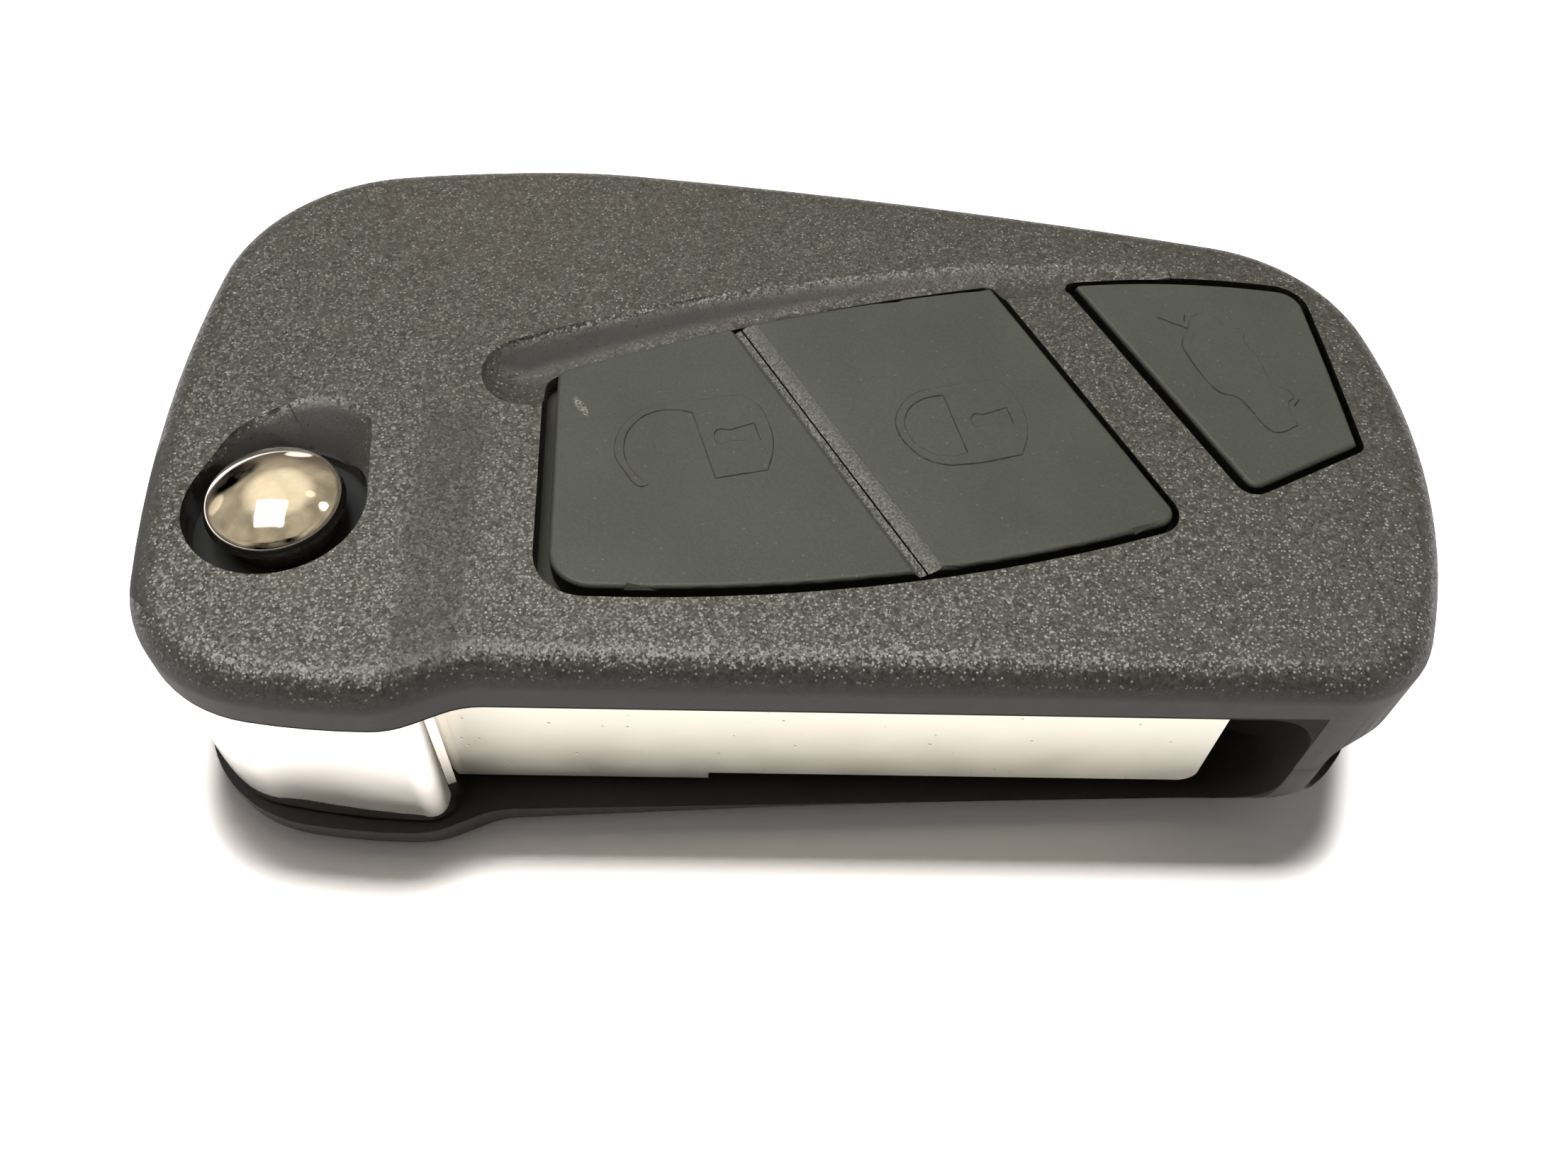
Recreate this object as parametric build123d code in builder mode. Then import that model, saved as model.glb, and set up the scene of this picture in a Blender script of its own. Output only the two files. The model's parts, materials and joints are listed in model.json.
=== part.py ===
# Flip key remote shell: a two-part case, a folding blade on a chrome head, three rubber keys.
# Millimetres. +X runs to the keyring end, -Y to the blade slot, +Z up from the table.
# The origin is on the table under the middle of the case.
import os
from math import cos, hypot, radians, sqrt

from build123d import *

os.makedirs("parts", exist_ok=True)
on_base = (Align.CENTER, Align.CENTER, Align.MIN)
hung = (Align.CENTER, Align.CENTER, Align.MAX)

# Blade
blade_length = 43.4         # from the head to the tip
blade_height = 8.8
blade_thickness = 3.0
blade_setback = 3.4         # outer face of the blade behind the widest near edge of the case
blade_lift = 0.05           # above the middle of the head
root_length = 14.4          # deeper stretch beside the head
root_drop = 0.65
tip_corner_radius = 1.0
tang_length = 8.0
tang_height = 6.0
socket_clearance = 0.02

# Case: its length follows from what lies in a row along the slot
pivot_inset = 8.4           # left end of the case to the pivot
head_reach = 9.2            # pivot to the side of the head that the blade leaves
tip_gap = 3.9               # blade tip to the end of the slot
ring_land = 9.1             # end of the slot to the keyring end
case_length = pivot_inset + head_reach + blade_length + tip_gap + ring_land
case_width = 43.0
pivot_from_near = 12.2
top_edge_radius = 2.0
bottom_edge_left = 1.5      # the lower edge grows rounder towards the keyring end
bottom_edge_right = 8.0
edge_growth = 3             # power of the distance that it grows with
edge_sections = 12          # steps that the rounded lower edge is drawn in
parting_land = 1.0          # straight side under the parting line
slot_setback = 1.6          # near side set back beside the blade
half_l = case_length/2
half_w = case_width/2
left, right, near, far = -half_l, half_l, -half_w, half_w
parting_z = bottom_edge_right + parting_land

# Plan of the case. Corners: distance from an end, distance from an edge, radius
near_left_corner = (2.7, 1.9, 8.7)
bulge_end_corner = (16.0, 0.02, 5.0)
step_end_corner = (19.4, slot_setback, 5.0)
near_right_corner = (5.0, slot_setback, 6.0)
far_right_corner = (3.0, 7.5, 11.0)
far_top_corner = (23.7, 0.0, 40.0)
far_left_corner = (1.7, 3.0, 12.0)
smallest_corner = 0.5
bulge_from_left = 14.5      # the near edge is widest here
right_bow_from_near = 20.5  # the ends are widest at these distances from the near edge
left_bow_from_near = 23.7
far_bow = (25.0, 3.2)       # from the right end and the far edge
far_turn = (12.5, 0.8)      # from the left end and the far edge

# Heights of the slot and of what turns in it
slot_floor = 2.5
head_gap_below = 0.5
head_height = 10.9
head_gap_above = 0.4
roof_thickness = 3.5
head_z0 = slot_floor + head_gap_below
head_z1 = head_z0 + head_height
slot_roof = head_z1 + head_gap_above
case_height = slot_roof + roof_thickness
blade_z0 = head_z0 + (head_height - blade_height)/2 + blade_lift
pivot_x = left + pivot_inset
pivot_y = near + pivot_from_near
head_side_x = pivot_x + head_reach
tip_x = head_side_x + blade_length
slot_end_x = tip_x + tip_gap
blade_front_y = near + blade_setback
blade_back_y = blade_front_y + blade_thickness

# Slot and head bay
blade_back_gap = 1.6
slot_back_y = blade_back_y + blade_back_gap
slot_top_corner = 3.0
slot_bottom_corner = 4.9
slot_inner_corner = 3.9
head_inset = 0.6            # near face of the head behind the edge of the case
head_corner_radius = 2.0
head_turn_radius = 6.0      # towards the left end of the case
head_bow = (12.0, 0.2)      # fullest point of its near face, from the left end and the near edge
hub_radius = 7.2
head_wall_behind = 1.9      # head behind the blade's tang
side_step_width = 0.35      # the side of the head is stepped beside the blade
side_step_depth = 1.3
bay_radius = 14.0           # open side of the head bay
bay_inner_radius = 11.3
bay_open_from = -47.0       # the open side, in degrees clockwise round the left end
bay_open_to = -275.0

# Pivot
running_gap = 0.05
thrust_inner_radius = 5.5   # ring that the head turns on, and its collar above
thrust_outer_radius = 6.5
collar_height = 0.9
chamber_radius = 5.0        # spring chamber in the head
chamber_top_wall = 3.6
stem_radius = 2.95
seat_thickness = 1.4
seat_peg_radius = 2.0
seat_peg_length = 1.3
flange_radius = 4.4
flange_thickness = 1.2
dog_width = 1.6
dog_reach = 4.1             # outer end of the plunger's dogs, from the pivot
dog_rise = 0.9              # above the head, where the case's notches catch them
keyway_clearance = 0.1
button_travel = 1.8
spring_wire = 0.35          # wire radius
spring_turns = 3.5
spring_end_gap = 0.05

# Release button
well_radius = 4.9
well_clearance = 0.2        # left under the dome when it is pressed down
button_radius = 3.75
button_rise = 1.7           # above the case
button_rim_height = 0.6
button_rim_radius = 0.25
cap_sink = 0.1              # underside of the dome below the top of the case
spigot_radius = 1.6
spigot_length = 0.8
well_depth = cap_sink + button_travel + well_clearance
recess_depth = 1.5
recess_lip = 0.3            # foot of the recess past the edge of the well
recess_lobes = ((-0.6, 3.4, 3.3), (1.1, 5.0, 3.15))   # from the pivot: x, y and radius

# Keyring tunnel: in through the near side, round a post in the corner and out through the end
ring_wall = 1.7             # end of the slot to the tunnel
ring_bend_radius = 4.2
ring_hole_width = 4.4
ring_hole_height = 7.0
ring_hole_corner = 2.0
ring_exit_y = near + 12.9
ring_z = 8.2
ring_x = slot_end_x + ring_wall + ring_hole_width/2
ring_overrun = 1.0          # past the case, so that both mouths are open

# Keys, measured from the keyring end
key_recess = 0.15           # key tops below the top of the case
key_gap = 0.5
key_shift = 0.27            # the keys sit towards the far right of their openings
key_edge_radius = 0.3
key_travel = 0.55
key_margin = 0.9            # rubber web past the openings
web_thickness = 0.6
top_plate = 2.0
valley_width = 1.7
valley_depth = 0.6
valley_lean = 0.4           # its deepest line lies this far to the left of its middle
key_slit = 0.08
nub_radius = 1.5
nub_clearance = 0.1
nub_length = 1.75
unlock_nub = (43.5, -4.5)   # from the right end and the middle line, as all points of the keys are
lock_nub = (28.5, -2.5)
boot_nub = (15.3, 7.0)
valley_far_end = (40.62, 5.74)
valley_near_end = (29.87, -13.61)
valley_overrun = 2.0

# Openings of the keys, their corners with a radius
pair_near_left = (51.2, -15.1, 3.0)
pair_far_left = (52.2, 1.35, 1.2)
pair_far_right = (24.65, 10.05, 0.6)
pair_near_right = (15.4, -9.6, 1.6)
pair_near_bow = (32.0, -14.0)
pair_far_bow = (38.4, 6.7)
boot_far_left = (20.3, 10.4, 0.8)
boot_near_left = (11.8, -7.7, 1.2)
boot_near_right = (4.1, -3.7, 0.8)
boot_far_right = (4.6, 10.2, 2.2)
boot_right_bow = (4.25, 2.5)
boot_far_bow = (12.0, 10.95)

# Finger groove along the far edge of the keys, its points measured as theirs
groove_radius = 4.6
groove_depth = 1.0
groove_run_out = 0.12       # its depth just past the last key
groove_left_end = (53.0, 1.2)
groove_bow = (34.0, 8.1)
groove_right_end = (13.0, 11.2)

# Hollow of the case and its drawer
side_wall_top = 2.2
side_wall_left = 3.0
side_wall_right = 5.0
bottom_plate = 2.0
slot_wall = 1.3
rib = 1.2
rail_height = 0.9
drawer_clearance = 0.1
drawer_wall = 1.4
drawer_height = 10.8
drawer_from_far = 9.2
drawer_from_slot_end = 2.5
bay_left_gap = 3.3          # head bay to the drawer
board_depth = 4.0           # board pocket in the top of the drawer
cell_radius = 10.3
cell_depth = 4.0
lid_thickness = 1.0
lid_margin = 1.5
lid_clearance = 0.1

# Quarter-turn lock of the drawer
lock_inset = 3.6            # from the drawer's left side
lock_head_radius = 3.2
lock_head_thickness = 0.8
lock_shaft_radius = 2.2
lock_clearance = 0.05
cam_square = 3.0
cam_reach = 5.0
cam_half_width = 1.3
cam_thickness = 1.2
cam_clearance = 0.2
coin_slot_width = 0.8
coin_slot_depth = 0.5
drawer_front = 2.0

# Fasteners
pin_radius = 1.0
pin_clearance = 0.02
pin_from_side = 4.6         # pin to the side of the head
pin_length = 5.7
left_screw = (16.5, 8.5)    # from the left end and the far edge
right_screw = (33.0, 7.0)   # from the right end and the far edge
screw_places = ((left + left_screw[0], far - left_screw[1]),
                (right - right_screw[0], far - right_screw[1]))
screw_radius = 0.9
screw_head_radius = 2.0
screw_head_thickness = 1.4
screw_recess = 0.8
screw_length = 12.0
screw_clearance = 0.1
screw_cross_width = 0.5
screw_cross_depth = 0.8
boss_radius = 2.7

key_top = case_height - key_recess
plate_z = case_height - top_plate
web_z0 = plate_z - web_thickness
bay_floor = bottom_plate + rail_height
drawer_z0 = bay_floor + drawer_clearance
drawer_z1 = drawer_z0 + drawer_height
drawer_near = slot_back_y + drawer_clearance
drawer_far = far - drawer_from_far
drawer_left = pivot_x + bay_inner_radius + bay_left_gap + drawer_clearance
drawer_right = slot_end_x - drawer_from_slot_end
well_z = case_height - well_depth
chamber_z1 = head_z1 - chamber_top_wall
pivot = (pivot_x, pivot_y)


def outline(inset_left=0.0, inset_right=0.0):
    """Plan of the case, drawn in at its two ends by the given amounts."""
    def at(x, y):
        along = (x - left)/case_length
        inset = inset_left + (inset_right - inset_left)*along**edge_growth
        return (x*(1 - inset/half_l), y*(1 - inset/half_w))

    near_left = at(left + near_left_corner[0], near + near_left_corner[1])
    bulge_end = at(left + bulge_end_corner[0], near + bulge_end_corner[1])
    step_end = at(left + step_end_corner[0], near + step_end_corner[1])
    near_right = at(right - near_right_corner[0], near + near_right_corner[1])
    far_right = at(right - far_right_corner[0], far - far_right_corner[1])
    far_top = at(left + far_top_corner[0], far - far_top_corner[1])
    far_left = at(left + far_left_corner[0], far - far_left_corner[1])
    corners = ((near_left, near_left_corner), (bulge_end, bulge_end_corner), (step_end, step_end_corner),
               (near_right, near_right_corner), (far_right, far_right_corner),
               (far_top, far_top_corner), (far_left, far_left_corner))
    with BuildSketch() as plan:
        with BuildLine():
            ThreePointArc(near_left, at(left + bulge_from_left, near), bulge_end)
            Line(bulge_end, step_end)
            Line(step_end, near_right)
            ThreePointArc(near_right, at(right, near + right_bow_from_near), far_right)
            ThreePointArc(far_right, at(right - far_bow[0], far - far_bow[1]), far_top)
            ThreePointArc(far_top, at(left + far_turn[0], far - far_turn[1]), far_left)
            ThreePointArc(far_left, at(left, near + left_bow_from_near), near_left)
        make_face()
        for place, corner in corners:
            inset = inset_left if place[0] < 0 else inset_right
            vertex = plan.vertices().sort_by_distance(place)[0]
            fillet(vertex, max(corner[2] - inset, smallest_corner))
    return plan.sketch


def edge_inset(z, radius):
    """How far a rounded lower edge has drawn in at height z."""
    return 0.0 if z >= radius else radius - sqrt(radius**2 - (radius - z)**2)


def from_right(point):
    """Place of a point that is measured from the right end and the middle line."""
    return (right - point[0], point[1])


def round_corners(opening, corners):
    """Rounds each corner of an opening by its own radius."""
    for corner in corners:
        fillet(opening.vertices().sort_by_distance(from_right(corner))[0], corner[2])


def pair_opening():
    """Opening of the unlock and lock keys, in the top face."""
    with BuildSketch() as opening:
        with BuildLine():
            Line(*map(from_right, (pair_far_left, pair_near_left)))
            ThreePointArc(*map(from_right, (pair_near_left, pair_near_bow, pair_near_right)))
            Line(*map(from_right, (pair_near_right, pair_far_right)))
            ThreePointArc(*map(from_right, (pair_far_right, pair_far_bow, pair_far_left)))
        make_face()
        round_corners(opening, (pair_near_left, pair_far_left, pair_near_right, pair_far_right))
    return opening.sketch


def boot_opening():
    """Opening of the boot key, in the top face."""
    with BuildSketch() as opening:
        with BuildLine():
            Line(*map(from_right, (boot_far_left, boot_near_left)))
            Line(*map(from_right, (boot_near_left, boot_near_right)))
            ThreePointArc(*map(from_right, (boot_near_right, boot_right_bow, boot_far_right)))
            ThreePointArc(*map(from_right, (boot_far_right, boot_far_bow, boot_far_left)))
        make_face()
        round_corners(opening, (boot_far_left, boot_near_left, boot_near_right, boot_far_right))
    return opening.sketch


def key_plan(opening):
    """A key's plan: its opening less the gap round it."""
    with BuildSketch() as plan:
        with Locations((key_shift, key_shift)):
            add(opening)
        offset(amount=-key_gap)
    return plan.sketch


def web_plan(margin):
    """Plan of the rubber web that the keys spring from."""
    with BuildSketch() as plan:
        add(pair_opening())
        add(boot_opening())
        make_hull()
        offset(amount=margin)
    return plan.sketch


def at_pivot(z):
    return Plane((pivot_x, pivot_y, z))


def hollow(wall_left, wall_right):
    """Plan of the case's hollow, with the drawer's side ribs and the screw bosses left standing."""
    near_edge = slot_back_y + slot_wall
    rib_left = drawer_left - drawer_clearance
    rib_right = drawer_right + drawer_clearance
    with BuildSketch() as plan:
        add(outline(wall_left, wall_right))
        with Locations((0, near_edge)):
            Rectangle(case_length, case_width, align=(Align.CENTER, Align.MIN), mode=Mode.INTERSECT)
        with Locations(pivot):
            Circle(bay_radius + slot_wall, mode=Mode.SUBTRACT)
        with Locations((slot_end_x, ring_exit_y + ring_hole_width/2 + ring_wall)):
            Rectangle(case_length, case_width, align=(Align.MIN, Align.MAX), mode=Mode.SUBTRACT)
        for x, side in ((rib_left, Align.MAX), (rib_right, Align.MIN)):
            with Locations((x, near_edge)):
                Rectangle(rib, case_width, align=(side, Align.MIN), mode=Mode.SUBTRACT)
        with Locations(*screw_places):
            Circle(boss_radius, mode=Mode.SUBTRACT)
    return plan.sketch


# Space for the blade and the head
with BuildPart() as slot_space:
    with BuildSketch(Plane.XZ.offset(-slot_back_y)) as slot_front:
        with Locations((pivot_x, slot_floor)):
            Rectangle(slot_end_x - pivot_x, slot_roof - slot_floor, align=(Align.MIN, Align.MIN))
        end_corners = slot_front.vertices().group_by(Axis.X)[-1].sort_by(Axis.Y)
        fillet(end_corners[0], slot_bottom_corner)
        end_corners = slot_front.vertices().group_by(Axis.X)[-1].sort_by(Axis.Y)
        fillet(end_corners[-1], slot_top_corner)
    extrude(amount=case_width/2)
    with BuildSketch(Plane.XY.offset(slot_floor)) as slot_top:
        with Locations((pivot_x, slot_back_y)):
            Rectangle(slot_end_x - pivot_x, case_width/2, align=(Align.MIN, Align.MAX))
        fillet(slot_top.vertices().group_by(Axis.X)[-1].sort_by(Axis.Y)[-1], slot_inner_corner)
    extrude(amount=slot_roof - slot_floor, mode=Mode.INTERSECT)

with BuildPart() as head_space:
    with BuildSketch(at_pivot(slot_floor)):
        with BuildLine():
            sweep_arc = CenterArc((0, 0), bay_radius, bay_open_to, bay_open_from - bay_open_to)
            Line(sweep_arc @ 1, (0, 0))
            Line((0, 0), sweep_arc @ 0)
        make_face()
        Circle(bay_inner_radius)
    extrude(amount=slot_roof - slot_floor)

# Keyring tunnel
with BuildPart() as ring_space:
    with BuildLine(Plane.XY.offset(ring_z)):
        ring_path = FilletPolyline((ring_x, near - ring_overrun), (ring_x, ring_exit_y),
                                   (right + ring_overrun, ring_exit_y), radius=ring_bend_radius)
    with BuildSketch(Plane(ring_path @ 0, x_dir=(1, 0, 0), z_dir=ring_path % 0)):
        RectangleRounded(ring_hole_width, ring_hole_height, ring_hole_corner)
    sweep()

# Space for the drawer and its mouth in the slot's back wall
with BuildPart() as drawer_space:
    with BuildSketch(Plane.XY.offset(bay_floor)):
        with Locations((drawer_left - drawer_clearance, slot_back_y - slot_wall)):
            Rectangle(drawer_right - drawer_left + 2*drawer_clearance,
                      drawer_far - slot_back_y + slot_wall + drawer_clearance, align=(Align.MIN, Align.MIN))
    extrude(amount=drawer_height + 2*drawer_clearance)

lock_x = drawer_left + lock_inset
lock_z = (drawer_z0 + drawer_z1)/2
cam_y0 = drawer_near + drawer_front + lock_clearance

# Notch in the case's left rib that the lock's cam turns into
with BuildPart() as cam_notch:
    with BuildSketch(Plane.XZ.offset(cam_clearance - cam_y0)):
        with Locations((lock_x, lock_z)):
            Circle(cam_reach + 2*cam_clearance)
    extrude(amount=-(cam_thickness + 2*cam_clearance))

# Lower half of the case
with BuildPart() as lower_shell:
    for step in range(edge_sections + 1):
        section_z = bottom_edge_right*(1 - cos(radians(90*step/edge_sections)))
        with BuildSketch(Plane.XY.offset(section_z)):
            add(outline(edge_inset(section_z, bottom_edge_left), edge_inset(section_z, bottom_edge_right)))
    loft(ruled=True)
    with BuildSketch(Plane.XY.offset(bottom_edge_right)):
        add(outline())
    extrude(amount=parting_land)
    with BuildSketch(Plane.XY.offset(bottom_plate)):
        add(hollow(side_wall_left, side_wall_right))
    extrude(amount=parting_z, mode=Mode.SUBTRACT)
    add(slot_space.part, mode=Mode.SUBTRACT)
    add(head_space.part, mode=Mode.SUBTRACT)
    add(ring_space.part, mode=Mode.SUBTRACT)
    add(drawer_space.part, mode=Mode.SUBTRACT)
    add(cam_notch.part, mode=Mode.SUBTRACT)
    # Rails under the drawer
    for x, side in ((drawer_left, Align.MIN), (drawer_right, Align.MAX)):
        with BuildSketch(Plane.XY.offset(bottom_plate)):
            with Locations((x, slot_back_y + slot_wall)):
                Rectangle(2*rib, drawer_far - slot_back_y - slot_wall, align=(side, Align.MIN))
        extrude(amount=rail_height)
    # Ring that the head turns on
    with BuildSketch(at_pivot(slot_floor)):
        Circle(thrust_outer_radius)
        Circle(thrust_inner_radius, mode=Mode.SUBTRACT)
    extrude(amount=head_gap_below - running_gap)
    with BuildSketch(at_pivot(slot_floor)):
        Circle(seat_peg_radius + socket_clearance)
    extrude(amount=-seat_peg_length, mode=Mode.SUBTRACT)
    with Locations(*[Plane((x, y, screw_recess + screw_head_thickness)) for x, y in screw_places]):
        Cylinder(screw_radius + screw_clearance, parting_z, align=on_base, mode=Mode.SUBTRACT)
        Cylinder(screw_head_radius + screw_clearance, parting_z, align=hung, mode=Mode.SUBTRACT)
lower_shell.part.label = "lower_shell"

# Recess and well of the release button
with BuildPart() as button_space:
    with BuildSketch(at_pivot(case_height - recess_depth)):
        Circle(well_radius)
        for x, y, radius in recess_lobes:
            with Locations((x/2, y/2)):
                Circle(well_radius + recess_lip - hypot(x, y)/2)
        make_hull()
    with BuildSketch(at_pivot(case_height)):
        Circle(well_radius)
        for x, y, radius in recess_lobes:
            with Locations((x, y)):
                Circle(radius)
        make_hull()
    loft(ruled=True)
    with BuildSketch(at_pivot(well_z)):
        Circle(well_radius)
    extrude(amount=well_depth)

# Finger groove: a round bar laid along the far edge of the keys, tilted so that it fades out
bar_z = case_height + groove_radius
groove_start = (*from_right(groove_left_end), bar_z - groove_depth)
groove_mid = (*from_right(groove_bow), bar_z - (groove_depth + groove_run_out)/2)
groove_end = (*from_right(groove_right_end), bar_z - groove_run_out)
with BuildPart() as groove:
    with BuildLine():
        groove_path = ThreePointArc(groove_start, groove_mid, groove_end)
    with BuildSketch(Plane(groove_path @ 0, z_dir=groove_path % 0)):
        Circle(groove_radius)
    sweep()
    with Locations(groove_start):
        Sphere(groove_radius)

# Upper half of the case
with BuildPart() as upper_shell:
    with BuildSketch(Plane.XY.offset(parting_z)):
        add(outline())
    extrude(amount=case_height - parting_z)
    fillet(upper_shell.faces().sort_by(Axis.Z)[-1].edges(), top_edge_radius)
    with BuildSketch(Plane.XY.offset(parting_z)):
        add(hollow(side_wall_top, side_wall_top))
    extrude(amount=plate_z - parting_z, mode=Mode.SUBTRACT)
    add(slot_space.part, mode=Mode.SUBTRACT)
    add(head_space.part, mode=Mode.SUBTRACT)
    add(ring_space.part, mode=Mode.SUBTRACT)
    add(drawer_space.part, mode=Mode.SUBTRACT)
    add(cam_notch.part, mode=Mode.SUBTRACT)
    with BuildSketch(Plane.XY.offset(web_z0)):
        add(web_plan(key_margin + drawer_clearance))
    extrude(amount=web_thickness, mode=Mode.SUBTRACT)
    with BuildSketch(Plane.XY.offset(plate_z)):
        add(pair_opening())
        add(boot_opening())
    extrude(amount=top_plate, mode=Mode.SUBTRACT)
    add(groove.part, mode=Mode.SUBTRACT)
    add(button_space.part, mode=Mode.SUBTRACT)
    # Bore for the stem, room for its dogs, and the groove that the head's collar turns in
    with BuildSketch(at_pivot(slot_roof)):
        Circle(stem_radius + running_gap)
    extrude(amount=roof_thickness, mode=Mode.SUBTRACT)
    with BuildSketch(at_pivot(slot_roof)):
        Circle(dog_reach + 3*keyway_clearance)
        Circle(thrust_outer_radius + running_gap)
        Circle(thrust_inner_radius - 2*keyway_clearance, mode=Mode.SUBTRACT)
        Circle(dog_reach + 3*keyway_clearance)
    extrude(amount=collar_height - head_gap_above + keyway_clearance, mode=Mode.SUBTRACT)
    with Locations(*[Plane((x, y, parting_z)) for x, y in screw_places]):
        Cylinder(screw_radius, screw_recess + screw_head_thickness + screw_length - parting_z,
                 align=on_base, mode=Mode.SUBTRACT)
upper_shell.part.label = "upper_shell"

# Unlock and lock keys: one moulding, parted along the bottom of a V groove
valley_far = Vector(*from_right(valley_far_end), key_top)
valley_near = Vector(*from_right(valley_near_end), key_top)
valley_line = (valley_near - valley_far).normalized()
valley_across = Vector(0, 0, 1).cross(valley_line)
key_bottom = plate_z + key_travel
with BuildPart() as key_pair:
    with BuildSketch(Plane.XY.offset(key_bottom)):
        add(key_plan(pair_opening()))
    extrude(amount=key_top - key_bottom)
    fillet(key_pair.faces().sort_by(Axis.Z)[-1].edges(), key_edge_radius)
    valley_plane = Plane(valley_far - valley_line*valley_overrun, x_dir=valley_across, z_dir=valley_line)
    with BuildSketch(valley_plane):
        with BuildLine():
            Polyline((-valley_width/2, 0), (-valley_lean, -valley_depth), (valley_width/2, 0),
                     (valley_width/2, valley_overrun), (-valley_width/2, valley_overrun), close=True)
        make_face()
    extrude(amount=case_width, mode=Mode.SUBTRACT)

parting = Plane(valley_far, x_dir=valley_line, z_dir=valley_across)
key_sides = (("unlock_button", Keep.BOTTOM, unlock_nub, -1), ("lock_button", Keep.TOP, lock_nub, 1))
for name, side, nub, reach in key_sides:
    with BuildPart() as key:
        add(key_pair.part)
        split(bisect_by=parting.offset(reach*key_slit/2), keep=side)
        with Locations((*from_right(nub), key_bottom)):
            Cylinder(nub_radius, nub_length, align=hung)
    key.part.label = name
    export_step(key.part, f"parts/{name}.step")

# Boot key
with BuildPart() as boot_button:
    with BuildSketch(Plane.XY.offset(key_bottom)):
        add(key_plan(boot_opening()))
    extrude(amount=key_top - key_bottom)
    fillet(boot_button.faces().sort_by(Axis.Z)[-1].edges(), key_edge_radius)
    with Locations((*from_right(boot_nub), key_bottom)):
        Cylinder(nub_radius, nub_length, align=hung)
boot_button.part.label = "boot_button"

# Rubber web under the top plate
with BuildPart() as keypad_membrane:
    with BuildSketch(Plane.XY.offset(web_z0)):
        add(web_plan(key_margin))
        with Locations(*[from_right(nub) for nub in (unlock_nub, lock_nub, boot_nub)]):
            Circle(nub_radius + nub_clearance, mode=Mode.SUBTRACT)
    extrude(amount=web_thickness)
keypad_membrane.part.label = "keypad_membrane"

# Drawer: a tray with the board's pocket above and the coin cell's bay below
cell_x = (drawer_left + drawer_right)/2 + lock_inset/2
cell_y = (drawer_near + drawer_front + drawer_far)/2
lid_half = cell_radius + lid_margin
with BuildPart() as circuit_drawer:
    with BuildSketch(Plane.XY.offset(drawer_z0)):
        with Locations((drawer_left, drawer_near)):
            Rectangle(drawer_right - drawer_left, drawer_far - drawer_near, align=(Align.MIN, Align.MIN))
    extrude(amount=drawer_height)
    with BuildSketch(Plane.XY.offset(drawer_z1 - board_depth)):
        with Locations((drawer_left + drawer_wall, drawer_near + drawer_front)):
            Rectangle(drawer_right - drawer_left - 2*drawer_wall,
                      drawer_far - drawer_near - drawer_front - drawer_wall, align=(Align.MIN, Align.MIN))
    extrude(amount=board_depth, mode=Mode.SUBTRACT)
    with Locations((cell_x, cell_y, drawer_z0)):
        Cylinder(cell_radius, lid_thickness + cell_depth, align=on_base, mode=Mode.SUBTRACT)
        Box(2*lid_half, 2*cell_radius, lid_thickness, align=on_base, mode=Mode.SUBTRACT)
    # Front wall bored for the lock, and the space behind it for the cam
    with BuildSketch(Plane.XZ.offset(-drawer_near)):
        with Locations((lock_x, lock_z)):
            Circle(lock_shaft_radius + lock_clearance)
    extrude(amount=-drawer_front, mode=Mode.SUBTRACT)
    with BuildSketch(Plane.XZ.offset(-drawer_near)):
        with Locations((lock_x, lock_z)):
            Circle(lock_head_radius + lock_clearance)
    extrude(amount=-lock_head_thickness, mode=Mode.SUBTRACT)
    with Locations((lock_x + cam_square, drawer_near + drawer_front, lock_z - cam_square)):
        Box(lock_inset + 2*cam_square, cam_thickness + lock_clearance + cam_clearance, drawer_height,
            align=(Align.MAX, Align.MIN, Align.MIN), mode=Mode.SUBTRACT)
circuit_drawer.part.label = "circuit_drawer"

# Lid of the coin cell's bay
with BuildPart() as drawer_lid:
    with Locations((cell_x, cell_y, drawer_z0)):
        Box(2*(lid_half - lid_clearance), 2*(cell_radius - lid_clearance), lid_thickness, align=on_base)
    with BuildSketch(Plane.XY.offset(drawer_z0 + lid_thickness)):
        with Locations((cell_x, cell_y)):
            Circle(cell_radius - lid_clearance)
            Circle(cell_radius - lid_clearance - rib, mode=Mode.SUBTRACT)
    extrude(amount=rib/2)
drawer_lid.part.label = "drawer_lid"

# Quarter-turn lock: a slotted head on a shaft with a square end
with BuildPart() as drawer_lock:
    with BuildSketch(Plane.XZ.offset(-drawer_near)):
        with Locations((lock_x, lock_z)):
            Circle(lock_head_radius)
    extrude(amount=-(lock_head_thickness - lock_clearance))
    with BuildSketch(Plane.XZ.offset(-drawer_near)):
        with Locations((lock_x, lock_z)):
            Circle(lock_shaft_radius)
    extrude(amount=-drawer_front)
    with BuildSketch(Plane.XZ.offset(-drawer_near)):
        with Locations((lock_x, lock_z)):
            Rectangle(cam_square, cam_square)
    extrude(amount=-(drawer_front + lock_clearance + cam_thickness))
    with BuildSketch(Plane.XZ.offset(-drawer_near)):
        with Locations((lock_x, lock_z)):
            Rectangle(2*lock_head_radius, coin_slot_width)
    extrude(amount=-coin_slot_depth, mode=Mode.SUBTRACT)
drawer_lock.part.label = "drawer_lock"

# Cam of the lock, its arm reaching into the notch of the case
with BuildPart() as lock_cam:
    with BuildSketch(Plane.XZ.offset(-cam_y0)):
        with Locations((lock_x, lock_z)):
            Circle(cam_square)
            Rectangle(cam_reach, 2*cam_half_width, align=(Align.MAX, Align.CENTER))
            Rectangle(cam_square, cam_square, mode=Mode.SUBTRACT)
    extrude(amount=-cam_thickness)
lock_cam.part.label = "lock_cam"

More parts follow.
